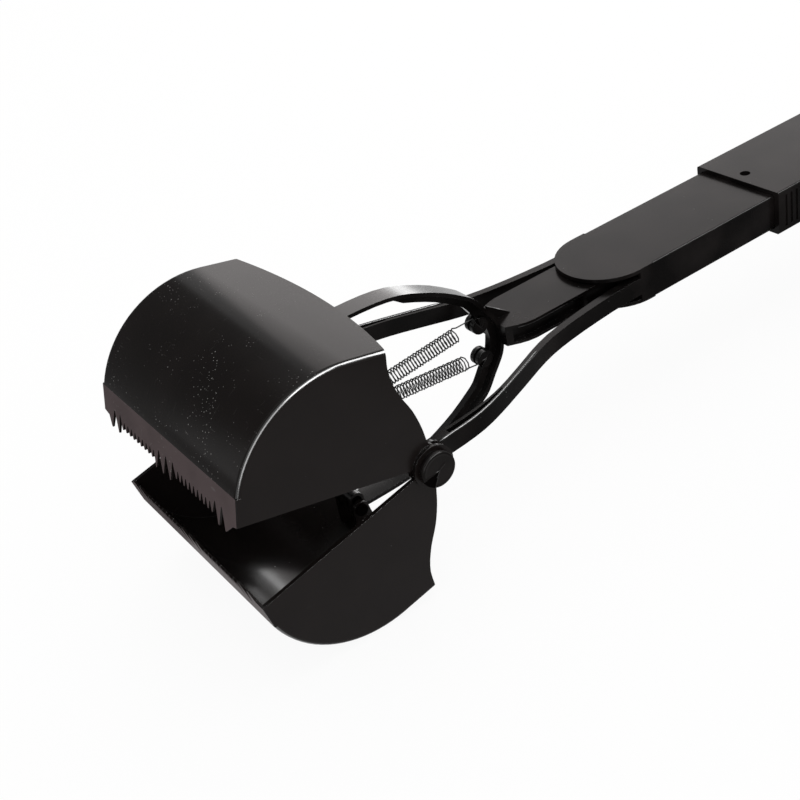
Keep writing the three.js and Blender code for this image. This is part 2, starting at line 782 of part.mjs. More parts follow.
// Flat rod: a hole for the link pin in front, an upright eye for the trigger pin behind
function pullRod() {
  const end = triggerPinX + rodEyeLength / 2;
  const eyeFront = triggerPinX - rodEyeLength / 2;
  const half = triggerPinRadius + triggerPinPlay;
  const drop = triggerReach * (1 - Math.cos((slideOpen - slideShut) / (2 * triggerReach)));
  const slot = roundedRectangle(triggerPinX, linkCentreRise - drop / 2, half, half + drop / 2, half - fit / 10);
  return joinAll([
    box(rodFront, eyeFront + fit, -rodHalf, rodHalf, rodBottom, rodTop),
    box(eyeFront, end, -rodHalf, rodHalf, linkCentreRise - rodEyeHeight / 2, linkCentreRise + rodEyeHeight / 2),
  ]).subtract(plateXZ(slot, -gripHalf, gripHalf))
    .subtract(barZ(linkPinRadius + fit, rodBottom - overrun, rodTop + overrun, linkPinAt));
}

function linkPin() {
  return barZ(linkPinRadius, linkBottom + fit, linkTop - fit, linkPinAt);
}

// Where one coil starts behind, the way it runs and its pitch
function springCoil(side) {
  const [setback, drop, frontRise] = side > 0
    ? [upperCoilSetback, upperCoilDrop, upperCoilFrontRise]
    : [lowerCoilSetback, lowerCoilDrop, lowerCoilFrontRise];
  const back = springBossX - setback;
  const backRise = springBossRise - drop;
  const along = new THREE.Vector2(back - springCoilFront, backRise - frontRise);
  const pitch = along.length() / springCurls;
  return { back, backRise, along: along.normalize(), pitch };
}

// Centre line of one spring. The ring on the bow comes first, then a straight run, the helix,
// another straight run and the ring round the axle.
function springPoints(side) {
  const points = [];
  const turn = springLoopTurn * degree;
  const loop = (x, y, z, radius, from, to) => {
    for (let i = 0; i <= springLoopSteps; i += 1) {
      const angle = from + ((to - from) * i) / springLoopSteps;
      points.push([x + radius * Math.cos(angle), y, z + radius * Math.sin(angle)]);
    }
  };
  const { back, backRise, along, pitch } = springCoil(side);
  const quarter = Math.PI / 2;
  loop(springBossX, 0, springBossRise, springBossLoop, quarter - turn, quarter);
  const steps = springCurls * springStepsPerCurl - springStepsPerCurl / 4;
  for (let i = 0; i <= steps; i += 1) {
    const angle = (quarter * 4 * i) / springStepsPerCurl;
    const run = (pitch * i) / springStepsPerCurl;
    const lift = springRadius * Math.cos(angle);
    points.push([
      back - along.x * run - along.y * lift,
      springRadius * Math.sin(angle),
      backRise - along.y * run + along.x * lift,
    ]);
  }
  loop(0, -springAxleOffset, 0, springAxleLoop, quarter, quarter + turn);
  return points.map(([x, y, z]) => new THREE.Vector3(x, side * y, side * z));
}

// Least gap between turns of the wire, measured on points along it
function springGap(curve, steps, pitch) {
  const points = curve.getSpacedPoints(steps);
  const spacing = curve.getLength() / steps;
  const apart = Math.ceil((pitch + springWire + springWire) / spacing);
  let least = Infinity;
  for (let i = 0; i < points.length; i += 1) {
    for (let j = i + apart; j < points.length; j += 1) {
      least = Math.min(least, points[i].distanceTo(points[j]));
    }
  }
  return least - springWire;
}

// Tension spring, one unbroken tube
function spring(side) {
  const curve = new THREE.CatmullRomCurve3(springPoints(side), false, "centripetal");
  const { pitch } = springCoil(side);
  const curl = Math.hypot(pitch, 2 * Math.PI * springRadius);
  const steps = Math.round((curve.getLength() * springStepsPerCurl) / curl);
  const ring = shapeThrough(Array.from({ length: springSides }, (unused, i) => {
    const angle = (2 * Math.PI * i) / springSides;
    return [(springWire / 2) * Math.cos(angle), (springWire / 2) * Math.sin(angle)];
  }));
  const options = { steps, bevelEnabled: false, extrudePath: curve };
  console.log(`spring ${side}: least gap to itself ${springGap(curve, steps * 2, pitch).toFixed(2)} mm`);
  return geometryOf(solidOf(new THREE.ExtrudeGeometry(ring, options)));
}

// Sleeve over the block's tail, ribbed on its sides
function shaft() {
  const outer = plateYZ(roundedRectangle(0, 0, sleeveHalf, sleeveRise, sleeveCorner), sleeveFront, sleeveEnd);
  const inner = roundedRectangle(0, 0, blockHalf + fit, blockRise + fit, blockCorner);
  const grooves = [];
  const rise = sleeveRise - sleeveCorner - ribGroove;
  for (let i = 0; i < ribCount; i += 1) {
    const x = sleeveFront + ribStart + ribPitch * i;
    grooves.push(box(x, x + ribGroove, sleeveHalf - ribDepth, sleeveHalf + overrun, -rise, rise));
  }
  const ribbing = joinAll(grooves);
  const x = sleeveFront + shaftScrewSetback;
  return outer
    .subtract(plateYZ(inner, sleeveFront - overrun, sleeveEnd + overrun))
    .subtract(ribbing.add(ribbing.mirror([0, 1, 0])))
    .subtract(barZ(shaftScrewHead + fit, sleeveRise - shaftScrewSink, sleeveHeight, x, shaftScrewAside))
    .subtract(barZ(screwShankRadius + fit, 0, sleeveHeight, x, shaftScrewAside));
}

function shaftScrew() {
  const x = sleeveFront + shaftScrewSetback;
  const seat = sleeveRise - shaftScrewSink + fit;
  return joinAll([
    barZ(shaftScrewHead, seat, sleeveRise - fit, x, shaftScrewAside),
    barZ(screwShankRadius, blockRise - plateThickness - screwBossDepth, seat, x, shaftScrewAside),
  ]);
}

// Block inside the sleeve that keeps the rod straight
function rodGuide() {
  const x = sleeveFront + guideSetback;
  return plateYZ(roundedRectangle(0, 0, blockHalf, blockRise, blockCorner), x, x + guideLength)
    .subtract(box(x - overrun, x + guideLength + overrun, -rodHalf - fit, rodHalf + fit, rodBottom - fit, rodTop + fit));
}

// Side view of the grip, moved inward by an inset
function gripOutline(inset) {
  const front = sleeveEnd + fit + inset;
  const back = gripEnd - inset;
  const lower = -sleeveRise + inset;
  return roundedOutline([
    [front, gripTop - inset, gripFrontCorner],
    [back, gripTop - inset, gripOuterCorner],
    [back, -gripBottom + inset, gripOuterCorner],
    [front + gripFrontSlant, -gripBottom + inset, gripLowerCorner],
    [front, lower, gripFrontCorner],
  ]);
}

// Finger opening of the grip, moved outward by an inset
function gripHole(inset) {
  const front = sleeveEnd + gripFrontBar - inset;
  const back = gripEnd - gripBackBar + inset;
  const top = gripTop - gripTopBar + inset;
  const bottom = gripBottomBar - gripBottom - inset;
  return roundedOutline([
    [front, top, gripInnerCorner],
    [back, top, gripInnerCorner],
    [back, bottom, gripInnerCorner],
    [front + gripFrontSlant, bottom, gripInnerCorner],
  ]);
}

function gripLoop(inset, y0, y1, round) {
  const opening = plateXZ(gripHole(inset), y0 - overrun, y1 + overrun, 0, gripCurveSteps);
  return plateXZ(gripOutline(inset), y0, y1, round, gripCurveSteps).subtract(opening);
}

// Plan of the neck that widens from the grip to the sleeve, with a plug inside the sleeve
function gripNeck(inset) {
  const plug = plateYZ(
    roundedRectangle(0, 0, blockHalf - inset, blockRise - inset, blockCorner),
    sleeveEnd - gripPlugLength - inset,
    sleeveEnd + gripWall,
  );
  const front = sleeveEnd + fit + inset;
  const back = sleeveEnd + gripNeckLength;
  const wide = sleeveHalf - inset;
  const narrow = gripHalf - gripRound - inset;
  const neck = shapeThrough([[front, -wide], [front, wide], [back, narrow], [back, -narrow]]);
  return plug.add(plateXY(neck, -sleeveRise + inset, sleeveRise - inset));
}

// Places of the four screws that close the grip
function gripScrewPlaces() {
  const top = gripTop - gripTopBar / 2;
  const bottom = gripBottomBar / 2 - gripBottom;
  return [
    [sleeveEnd + gripFrontBar - gripScrewFrontInset, gripTop - gripTopBar - gripScrewFrontDrop],
    [gripEnd - gripBackBar, top],
    [gripEnd - gripBackBar, bottom],
    [sleeveEnd + gripFrontBar + gripFrontSlant, bottom],
  ];
}

// Space in the grip for the trigger's two ends and the rod
function gripSpaces() {
  const half = triggerHalf + triggerSpace;
  const top = gripTop - gripTopBar;
  const eye = triggerEyeRadius + triggerSpace;
  const fan = shapeThrough([
    [triggerPivotX - eye - triggerFanRoot, triggerPivotZ],
    [triggerPivotX + eye + triggerFanRoot, triggerPivotZ],
    [triggerPivotX + triggerFanSpread, triggerPivotZ + gripBottomBar],
    [triggerPivotX - triggerFanSpread, triggerPivotZ + gripBottomBar],
  ]);
  return joinAll([
    box(triggerPivotX - triggerSweep, triggerPivotX + triggerSweep, -half, half, top - overrun, gripTop - gripWall),
    barY(eye, -half, half, triggerPivotX, triggerPivotZ),
    plateXZ(fan, -half, half),
    box(sleeveFront, triggerPivotX, -rodHalf - slidePlay, rodHalf + slidePlay, rodBottom - slidePlay, rodTop + slidePlay),
  ]);
}

// Whole grip before it is split: hollow loop and neck, with bosses for screws and pivot
function gripWhole() {
  const skin = gripHalf - gripWall;
  const hollow = gripLoop(gripWall, -skin, skin, 0).add(gripNeck(gripWall));
  const walled = gripLoop(0, -gripHalf, gripHalf, gripRound).add(gripNeck(0)).subtract(hollow);
  const bosses = gripScrewPlaces().map(([x, z]) => barY(gripBossRadius, -skin - fit, skin + fit, x, z));
  const seat = triggerPivotPinRadius + gripWall + fit;
  const pivotBoss = barY(seat, -skin - fit, skin + fit, triggerPivotX, triggerPivotZ);
  const pinEnd = gripHalf - triggerPivotPinInset + fit;
  return joinAll([walled, ...bosses, pivotBoss])
    .subtract(gripSpaces())
    .subtract(barY(triggerPivotPinRadius + fit, -pinEnd, pinEnd, triggerPivotX, triggerPivotZ));
}

// One shell. The near one takes the screw heads, the far one their tips.
function gripShell(whole, side) {
  const reach = gripEnd + overrun;
  const half = side < 0
    ? box(0, reach, -reach, -fit / 2, -reach, reach)
    : box(0, reach, fit / 2, reach, -reach, reach);
  const holes = gripScrewPlaces().map(([x, z]) => joinAll([
    barY(screwShankRadius + fit, -gripHalf, gripScrewLength - gripHalf + fit, x, z, smallBarSides),
    barY(screwHeadRadius + fit, -gripHalf - overrun, -gripHalf + screwSink, x, z),
  ]));
  return whole.intersect(half).subtract(joinAll(holes));
}

function gripScrew([x, z]) {
  const seat = -gripHalf + screwSink - fit;
  const top = seat - screwHeadThickness;
  const slot = screwSlotWidth / 2;
  return joinAll([
    barY(screwHeadRadius, top, seat, x, z),
    barY(screwShankRadius, seat - fit, gripScrewLength - gripHalf, x, z, smallBarSides),
  ]).subtract(box(x - screwHeadRadius, x + screwHeadRadius, top - fit, top + screwSlotDepth, z - slot, z + slot))
    .subtract(box(x - slot, x + slot, top - fit, top + screwSlotDepth, z - screwHeadRadius, z + screwHeadRadius));
}

// Trigger, upright about its pivot, forked at the top round the rod's eye
function triggerUpright() {
  const spot = ([across, along]) => new THREE.Vector2(across * triggerDepth, along * triggerReach);
  const outline = new THREE.Shape();
  outline.absarc(0, 0, triggerEyeRadius, 0, -Math.PI, true);
  outline.splineThru(triggerFrontShares.map(spot));
  outline.absarc(0, triggerReach, triggerTopRadius, Math.PI, 0, true);
  outline.splineThru(triggerRearShares.map(spot));
  outline.closePath();
  const gap = rodHalf + fit;
  const top = triggerReach + triggerTopRadius + overrun;
  const fork = box(-triggerReach, triggerReach, -gap, gap, triggerReach - triggerForkDepth, top);
  return plateXZ(outline, -triggerHalf, triggerHalf, triggerRound, triggerCurveSteps)
    .subtract(fork)
    .subtract(barY(triggerPivotPinRadius + fit, -gripHalf, gripHalf))
    .subtract(barY(triggerPinRadius + fit, -gripHalf, gripHalf, 0, triggerReach));
}

// Place a piece of the upright trigger in the stored pose
function leaned(solid) {
  return geometryOf(solid).rotateY(triggerRest).translate(triggerPivotX, 0, triggerPivotZ);
}

function piece(name, shape, finish) {
  const geometry = shape.isBufferGeometry ? shape : geometryOf(shape);
  const mesh = new THREE.Mesh(geometry, new THREE.MeshStandardMaterial(finish));
  mesh.name = name;
  return mesh;
}

const shutJaw = jawShut();
const shutPin = jawPinShut();
const wholeGrip = gripWhole();
const pivotPinEnd = gripHalf - triggerPivotPinInset;

const model = new THREE.Group();
model.name = "pooper_scooper";
model.add(
  piece("upper_jaw", swung(shutJaw, false), blackPlastic),
  piece("lower_jaw", swung(shutJaw, true), blackPlastic),
  piece("upper_jaw_pin", swung(shutPin, false), zincSteel),
  piece("lower_jaw_pin", swung(shutPin, true), zincSteel),
  piece("hinge_axle", hingeAxle(), blackPlastic),
  piece("hinge_cap", hingeCap(), blackPlastic),
  piece("washer_near", washer(-1), zincSteel),
  piece("washer_far", washer(1), zincSteel),
  piece("fork", fork(), blackPlastic),
  piece("bow_link", bowLink(), blackPlastic),
  piece("link_pin", linkPin(), zincSteel),
  piece("pull_rod", pullRod(), satinPlastic),
  piece("spring_upper", spring(1), springSteel),
  piece("spring_lower", spring(-1), springSteel),
  piece("shaft", shaft(), blackPlastic),
  piece("shaft_screw", shaftScrew(), zincSteel),
  piece("rod_guide", rodGuide(), satinPlastic),
  piece("grip_left", gripShell(wholeGrip, -1), satinPlastic),
  piece("grip_right", gripShell(wholeGrip, 1), satinPlastic),
  piece("trigger", leaned(triggerUpright()), blackPlastic),
  piece("trigger_link_pin", leaned(barY(triggerPinRadius, -triggerHalf, triggerHalf, 0, triggerReach)), zincSteel),
  piece("trigger_pivot_pin", barY(triggerPivotPinRadius, -pivotPinEnd, pivotPinEnd, triggerPivotX, triggerPivotZ), zincSteel),
);
gripScrewPlaces().forEach((place, i) => model.add(piece(`grip_screw_${i + 1}`, gripScrew(place), zincSteel)));

// Put the origin at the bottom centre of the whole
const bounds = new THREE.Box3().setFromObject(model);
const shift = [-(bounds.min.x + bounds.max.x) / 2, 0, -bounds.min.z];
for (const mesh of model.children) {
  mesh.geometry.translate(...shift);
}

// Joint values for the record
const metres = (...values) => values.map((value) => (value / 1000).toFixed(5)).join(", ");
console.log(`moved by ${metres(...shift)} m`);
console.log(`jaw axle ${metres(shift[0], 0, shift[2])}`);
console.log(`trigger pivot ${metres(triggerPivotX + shift[0], 0, triggerPivotZ + shift[2])}`);
const squeezeRange = [slideShut, slideOpen].map((slide) => (slide / triggerReach / degree).toFixed(3)).join(" to ");
console.log(`trigger range ${squeezeRange} deg`);
console.log(`slide range ${metres(slideShut, slideOpen)}, ratio ${(triggerReach / 1000).toFixed(5)} m per rad`);
const swingRatio = triggerReach / slidePerRadian;
const swingRange = [-closeAngle, swingAngle].map((angle) => (angle / degree).toFixed(3)).join(" to ");
console.log(`jaw range ${swingRange} deg, ratio ${swingRatio.toFixed(5)}`);

export default model;
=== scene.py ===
import json
import math
import bmesh
import bpy
import numpy as np
from mathutils import Matrix, Vector

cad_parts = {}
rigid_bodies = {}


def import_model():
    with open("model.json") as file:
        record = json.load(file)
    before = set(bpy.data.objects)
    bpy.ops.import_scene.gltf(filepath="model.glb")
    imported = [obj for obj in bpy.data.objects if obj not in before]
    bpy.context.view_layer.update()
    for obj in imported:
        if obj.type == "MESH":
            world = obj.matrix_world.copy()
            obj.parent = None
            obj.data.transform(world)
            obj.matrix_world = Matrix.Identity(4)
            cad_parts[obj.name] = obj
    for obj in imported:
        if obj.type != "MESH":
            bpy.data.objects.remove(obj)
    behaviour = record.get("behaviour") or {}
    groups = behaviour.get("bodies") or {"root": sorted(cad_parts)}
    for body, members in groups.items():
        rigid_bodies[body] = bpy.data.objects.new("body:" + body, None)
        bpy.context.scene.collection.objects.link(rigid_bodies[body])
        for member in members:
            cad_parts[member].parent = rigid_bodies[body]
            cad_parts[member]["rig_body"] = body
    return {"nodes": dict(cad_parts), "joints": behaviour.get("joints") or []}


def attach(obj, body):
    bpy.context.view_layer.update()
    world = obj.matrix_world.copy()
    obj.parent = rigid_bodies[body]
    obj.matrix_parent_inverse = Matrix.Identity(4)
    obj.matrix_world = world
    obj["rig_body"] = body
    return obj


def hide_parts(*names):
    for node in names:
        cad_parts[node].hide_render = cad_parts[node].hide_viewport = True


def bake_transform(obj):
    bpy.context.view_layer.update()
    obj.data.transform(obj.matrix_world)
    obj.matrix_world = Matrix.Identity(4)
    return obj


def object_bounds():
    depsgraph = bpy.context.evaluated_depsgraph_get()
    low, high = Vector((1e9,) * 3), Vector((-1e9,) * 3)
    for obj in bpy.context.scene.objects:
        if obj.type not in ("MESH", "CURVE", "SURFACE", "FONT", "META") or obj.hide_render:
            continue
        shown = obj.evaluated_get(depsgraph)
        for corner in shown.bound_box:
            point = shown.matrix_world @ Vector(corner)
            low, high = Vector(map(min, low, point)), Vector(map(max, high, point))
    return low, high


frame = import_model()
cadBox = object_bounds()
nodes = frame["nodes"]
jointAt = {joint["name"]: Vector(joint["pos_m"]) for joint in frame["joints"] if "pos_m" in joint}
jawAxle = jointAt["upper_jaw_swing"]
bodyOf = {name: nodes[name]["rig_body"] for name in nodes}
scene = bpy.context.scene
print("frame loaded:", len(nodes), "nodes")


# A mesh, lamp or camera as an object in the scene
def addObject(name, data):
    made = bpy.data.objects.new(name, data)
    scene.collection.objects.link(made)
    return made


# Helpers for node trees

# Link a socket to another one, or give it a plain value
def give(tree, socket, value):
    if isinstance(value, bpy.types.NodeSocket):
        tree.links.new(value, socket)
    else:
        socket.default_value = value


# A node with its settings, and values or links for its named inputs
def addNode(tree, kind, settings=None, **values):
    made = tree.nodes.new(kind)
    for key, value in (settings or {}).items():
        setattr(made, key, value)
    for key, value in values.items():
        give(tree, made.inputs[key], value)
    return made


def mathNode(tree, operation, *values, clamp=False):
    made = addNode(tree, "ShaderNodeMath", {"operation": operation, "use_clamp": clamp})
    for socket, value in zip(made.inputs, values):
        give(tree, socket, value)
    return made.outputs[0]


def mapRange(tree, value, low, high, outLow=0.0, outHigh=1.0):
    made = addNode(tree, "ShaderNodeMapRange", {"clamp": True})
    for socket, number in zip(made.inputs, (value, low, high, outLow, outHigh)):
        give(tree, socket, number)
    return made.outputs[0]


# A colour between two others, each a socket or three numbers (inputs 0, 6 and 7 of the node)
def mixColour(tree, share, first, second):
    made = addNode(tree, "ShaderNodeMix", {"data_type": "RGBA"})
    give(tree, made.inputs[0], share)
    for index, value in ((6, first), (7, second)):
        give(tree, made.inputs[index], value if isinstance(value, bpy.types.NodeSocket) else (*value, 1))
    return made.outputs[2]


# A shader node group with float inputs and the named outputs
def newGroup(name, inputs, outputs):
    group = bpy.data.node_groups.new(name, "ShaderNodeTree")
    for label, value in inputs:
        socket = group.interface.new_socket(label, in_out="INPUT", socket_type="NodeSocketFloat")
        socket.default_value = value
    for label in outputs:
        group.interface.new_socket(label, in_out="OUTPUT", socket_type="NodeSocketFloat")
    return group, group.nodes.new("NodeGroupInput").outputs, group.nodes.new("NodeGroupOutput").inputs


# A material with an empty node tree
def newMaterial(name):
    made = bpy.data.materials.new(name)
    made.use_nodes = True
    made.node_tree.nodes.clear()
    return made, made.node_tree


# Put a shader out as a material's or the world's surface
def toSurface(tree, shader, kind="ShaderNodeOutputMaterial"):
    tree.links.new(shader, tree.nodes.new(kind).inputs[0])


# Moulded skin: height = pit share * fine noise + slow noise, a slow change of gloss, and faint stains
skinValues = {
    "pits": {"Detail": 2.0, "Roughness": 0.5},
    "waves": {"Detail": 1.0},
    "slow": {"Scale": 30.0, "Detail": 4.0, "Roughness": 0.6},
    "blots": {"Scale": 38.0, "Detail": 2.0, "Roughness": 0.4},
    "stainFrom": 0.42, "stainTo": 0.68,
}


def skinGroup():
    group, given, out = newGroup(
        "mouldedSkin",
        [("Pit Size", 700.0), ("Wave Size", 26.0), ("Pit Share", 0.3), ("Gloss Change", 0.06)],
        ["Height", "Roughness Change", "Stain"],
    )
    place = group.nodes.new("ShaderNodeTexCoord").outputs["Object"]

    def noise(**values):
        return addNode(group, "ShaderNodeTexNoise", Vector=place, **values).outputs[0]

    pits = noise(Scale=given["Pit Size"], **skinValues["pits"])
    waves = noise(Scale=given["Wave Size"], **skinValues["waves"])
    share = mathNode(group, "MULTIPLY", pits, given["Pit Share"])
    group.links.new(mathNode(group, "ADD", share, waves), out["Height"])
    centred = mathNode(group, "SUBTRACT", noise(**skinValues["slow"]), 0.5)
    group.links.new(mathNode(group, "MULTIPLY", centred, given["Gloss Change"]), out["Roughness Change"])
    blots = noise(**skinValues["blots"])
    group.links.new(mapRange(group, blots, skinValues["stainFrom"], skinValues["stainTo"]), out["Stain"])
    return group


# Dust and scratches: dust = 1 inside a small dot in a chosen share of a pattern's cells, in patches
# of a slow cloud. Scratch = 1 on thin level lines of a noise that is stretched along one direction.
dustValues = {
    "dotRadius": 0.3, "patchFrom": 0.52, "patchTo": 0.62,
    "cloud": {"Scale": 24.0, "Detail": 3.0, "Roughness": 0.65},
    "streaks": [
        {"Rotation": (0.5, 0.35, 0.5), "Scale": (1500.0, 130.0, 130.0)},
        {"Rotation": (1.3, 0.91, 1.3), "Scale": (130.0, 1600.0, 130.0)},
    ],
    "streakFrom": 0.82, "streakTo": 0.84,
}


def dustGroup():
    group, given, out = newGroup(
        "dustAndScratches",
        [("Dot Size", 760.0), ("Dot Share", 0.1), ("Streak Share", 0.5)],
        ["Dust", "Scratch"],
    )
    place = group.nodes.new("ShaderNodeTexCoord").outputs["Object"]
    cells = addNode(group, "ShaderNodeTexVoronoi", Vector=place, Scale=given["Dot Size"])
    split = addNode(group, "ShaderNodeSeparateColor")
    group.links.new(cells.outputs["Color"], split.inputs[0])
    chosen = mathNode(group, "LESS_THAN", split.outputs[0], given["Dot Share"])
    radius = mathNode(group, "MULTIPLY", split.outputs[1], dustValues["dotRadius"])
    near = mathNode(group, "LESS_THAN", cells.outputs["Distance"], radius)
    cloud = addNode(group, "ShaderNodeTexNoise", Vector=place, **dustValues["cloud"])
    patch = mapRange(group, cloud.outputs[0], dustValues["patchFrom"], dustValues["patchTo"])
    dots = mathNode(group, "MULTIPLY", chosen, near)
    group.links.new(mathNode(group, "MULTIPLY", dots, patch), out["Dust"])
    lines = []
    for stretch in dustValues["streaks"]:
        turned = addNode(group, "ShaderNodeMapping", Vector=place, **stretch)
        grain = addNode(group, "ShaderNodeTexNoise", Vector=turned.outputs[0], Scale=1.0, Detail=0.0)
        lines.append(mapRange(group, grain.outputs[0], dustValues["streakFrom"], dustValues["streakTo"]))
    streaks = mathNode(group, "MAXIMUM", *lines)
    group.links.new(mathNode(group, "MULTIPLY", streaks, given["Streak Share"]), out["Scratch"])
    return group


skin = skinGroup()
dust = dustGroup()

# Moulded black plastic: dark base, fine skin, dust and scratches, and a soft gloss
plasticValues = {"ior": 1.46, "dustRoughness": 0.4, "bumpHeight": 0.0001}


def plastic(name, look):
    made, tree = newMaterial(name)
    shader = addNode(tree, "ShaderNodeBsdfPrincipled", IOR=plasticValues["ior"], Metallic=0.0)
    shader.inputs["Specular IOR Level"].default_value = look["specular"]
    surface = addNode(tree, "ShaderNodeGroup", {"node_tree": skin})
    surface.inputs["Pit Share"].default_value = look["pits"]
    surface.inputs["Gloss Change"].default_value = look["glossChange"]
    marks = addNode(tree, "ShaderNodeGroup", {"node_tree": dust})
    marks.inputs["Dot Share"].default_value = look["dust"]
    marks.inputs["Streak Share"].default_value = look["scratches"]
    stainColour = [value * look["stain"] for value in look["colour"]]
    stained = mixColour(tree, surface.outputs["Stain"], look["colour"], stainColour)
    dusted = mixColour(tree, marks.outputs["Dust"], stained, look["dustColour"])
    scratched = mixColour(tree, marks.outputs["Scratch"], dusted, look["scratchColour"])
    tree.links.new(scratched, shader.inputs["Base Color"])
    rough = mathNode(tree, "ADD", surface.outputs["Roughness Change"], look["roughness"])
    dusty = mathNode(tree, "MULTIPLY_ADD", marks.outputs["Dust"], plasticValues["dustRoughness"], rough,
                     clamp=True)
    tree.links.new(dusty, shader.inputs["Roughness"])
    bump = addNode(tree, "ShaderNodeBump", Strength=look["bump"], Distance=plasticValues["bumpHeight"])
    tree.links.new(surface.outputs["Height"], bump.inputs["Height"])
    tree.links.new(bump.outputs[0], shader.inputs["Normal"])
    toSurface(tree, shader.outputs[0])
    return made


# Drawn or plated steel: metal with dull, rougher spots where a fine noise is high
steelValues = {
    "spotDetail": 4.0, "dullFrom": 0.42, "dullTo": 0.7, "roughFrom": 0.3, "roughTo": 0.75, "roughRise": 0.22,
}


def steel(name, look):
    made, tree = newMaterial(name)
    shader = addNode(tree, "ShaderNodeBsdfPrincipled", Metallic=1.0)
    place = tree.nodes.new("ShaderNodeTexCoord").outputs["Object"]
    spots = addNode(tree, "ShaderNodeTexNoise", Vector=place, Scale=look["spotSize"],
                    Detail=steelValues["spotDetail"])
    dull = mapRange(tree, spots.outputs[0], steelValues["dullFrom"], steelValues["dullTo"])
    tree.links.new(mixColour(tree, dull, look["colour"], look["dullColour"]), shader.inputs["Base Color"])
    rough = mapRange(tree, spots.outputs[0], steelValues["roughFrom"], steelValues["roughTo"],
                     look["roughness"], look["roughness"] + steelValues["roughRise"])
    tree.links.new(rough, shader.inputs["Roughness"])
    toSurface(tree, shader.outputs[0])
    return made


jawBlackLook = {
    "colour": (0.0052, 0.0040, 0.0037), "stain": 1.25, "roughness": 0.19, "specular": 0.1,
    "dustColour": (0.16, 0.155, 0.15), "dust": 0.4, "scratchColour": (0.05, 0.048, 0.045), "scratches": 0.25,
    "bump": 0.05, "pits": 0.2, "glossChange": 0.05,
}
wallBlackLook = {
    "colour": (0.0085, 0.0064, 0.0060), "stain": 1.15, "roughness": 0.26, "specular": 0.1,
    "dustColour": (0.05, 0.05, 0.05), "dust": 0.015, "scratchColour": (0.02, 0.02, 0.02), "scratches": 0.1,
    "bump": 0.06, "pits": 0.3, "glossChange": 0.08,
}
stripBlackLook = {
    "colour": (0.072, 0.053, 0.054), "stain": 0.8, "roughness": 0.45, "specular": 0.06,
    "dustColour": (0.2, 0.19, 0.18), "dust": 0.3, "scratchColour": (0.12, 0.11, 0.11), "scratches": 0.4,
    "bump": 0.12, "pits": 0.5, "glossChange": 0.1,
}
glossBlackLook = {
    "colour": (0.0030, 0.0025, 0.0024), "stain": 3.2, "roughness": 0.22, "specular": 0.07,
    "dustColour": (0.1, 0.1, 0.1), "dust": 0.02, "scratchColour": (0.02, 0.02, 0.02), "scratches": 0.1,
    "bump": 0.06, "pits": 0.3, "glossChange": 0.1,
}
bowBlackLook = {
    "colour": (0.0040, 0.0036, 0.0035), "stain": 1.5, "roughness": 0.2, "specular": 0.3,
    "dustColour": (0.1, 0.1, 0.1), "dust": 0.02, "scratchColour": (0.06, 0.06, 0.06), "scratches": 0.4,
    "bump": 0.06, "pits": 0.3, "glossChange": 0.1,
}
satinBlackLook = {
    "colour": (0.0065, 0.0060, 0.0058), "stain": 1.4, "roughness": 0.4, "specular": 0.25,
    "dustColour": (0.12, 0.12, 0.12), "dust": 0.02, "scratchColour": (0.03, 0.03, 0.03), "scratches": 0.2,
    "bump": 0.14, "pits": 0.6, "glossChange": 0.12,
}
# Near black and without gloss: painted shade in the notches of the faced discs and over the sleeve's screw
# hole. On the jaw pins it is their own dark finish, on the shaft screw it is painted shade, and on both it
# takes their reflections away.
darkPinAndPaintedShadeLook = {
    "colour": (0.0022, 0.0018, 0.0018), "stain": 1.5, "roughness": 0.6, "specular": 0.0,
    "dustColour": (0.03, 0.03, 0.03), "dust": 0.02, "scratchColour": (0.01, 0.01, 0.01), "scratches": 0.0,
    "bump": 0.1, "pits": 0.4, "glossChange": 0.1,
}
edgeBlackLook = {
    "colour": (0.0045, 0.0040, 0.0038), "stain": 1.2, "roughness": 0.2, "specular": 0.6,
    "dustColour": (0.1, 0.1, 0.1), "dust": 0.02, "scratchColour": (0.05, 0.05, 0.05), "scratches": 0.1,
    "bump": 0.05, "pits": 0.2, "glossChange": 0.1,
}
# Near-black metal colour for the springs: painted dark reflection, standing for the dark surroundings that
# the wires reflect
springSteelLook = {
    "colour": (0.03, 0.03, 0.03), "dullColour": (0.014, 0.014, 0.014), "roughness": 0.4, "spotSize": 700.0,
}
zincLook = {"colour": (0.3, 0.3, 0.3), "dullColour": (0.16, 0.16, 0.16), "roughness": 0.3, "spotSize": 340.0}
jawBlack = plastic("jawBlack", jawBlackLook)
innerBlack = plastic("innerBlack", {**jawBlackLook, "dust": 0.02, "scratches": 0.05})
wallBlack = plastic("wallBlack", wallBlackLook)
stripBlack = plastic("stripBlack", stripBlackLook)
bowBlack = plastic("bowBlack", bowBlackLook)
edgeBlack = plastic("edgeBlack", edgeBlackLook)
darkPinAndPaintedShade = plastic("darkPinAndPaintedShade", darkPinAndPaintedShadeLook)
glossBlack = plastic("glossBlack", glossBlackLook)
satinBlack = plastic("satinBlack", satinBlackLook)
springSteel = steel("springSteel", springSteelLook)
zincSteel = steel("zincSteel", zincLook)
print("materials made")


# Pieces

# A merged copy of a solid with its flat faces joined, its edges rounded over and its normals smoothed.
# Pick gives the number of a face's material in the list from the face's middle and normal, and edgeNumber
# is the number of the rounded edges' material.
finishValues = {"mergeWithin": 0.00001, "flatWithin": 0.6, "edgeSegments": 2}


